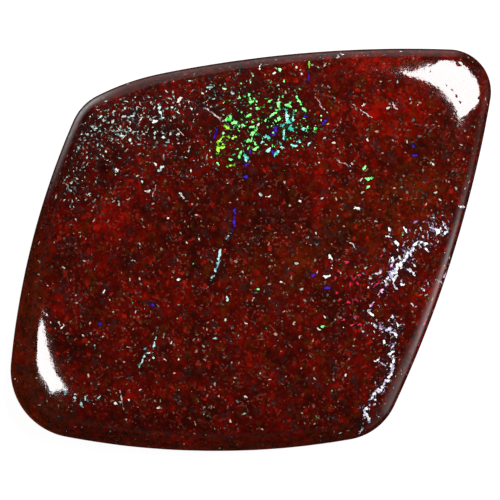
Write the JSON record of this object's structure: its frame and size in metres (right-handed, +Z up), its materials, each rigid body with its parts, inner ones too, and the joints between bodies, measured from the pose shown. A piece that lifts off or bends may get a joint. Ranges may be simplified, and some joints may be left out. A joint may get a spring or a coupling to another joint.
{
  "type": "polished boulder opal",
  "caption": "Freeform boulder opal: a rounded rhomboid slab of dark red ironstone with opal flecks, polished domed face, rounded rim and flat ground back.",
  "frame": {"origin": "on the surface the stone lies on, at the middle of its bounding box", "axes": "+Z up through the domed face, +X along the stone's longer side, +Y across it"},
  "size_m": [0.032, 0.0268, 0.0049],
  "materials": {
    "opal_matrix": "polished, with a ground back"
  },
  "bodies": {
    "root": {"opal_stone": "opal_matrix"}
  },
  "joints": []
}
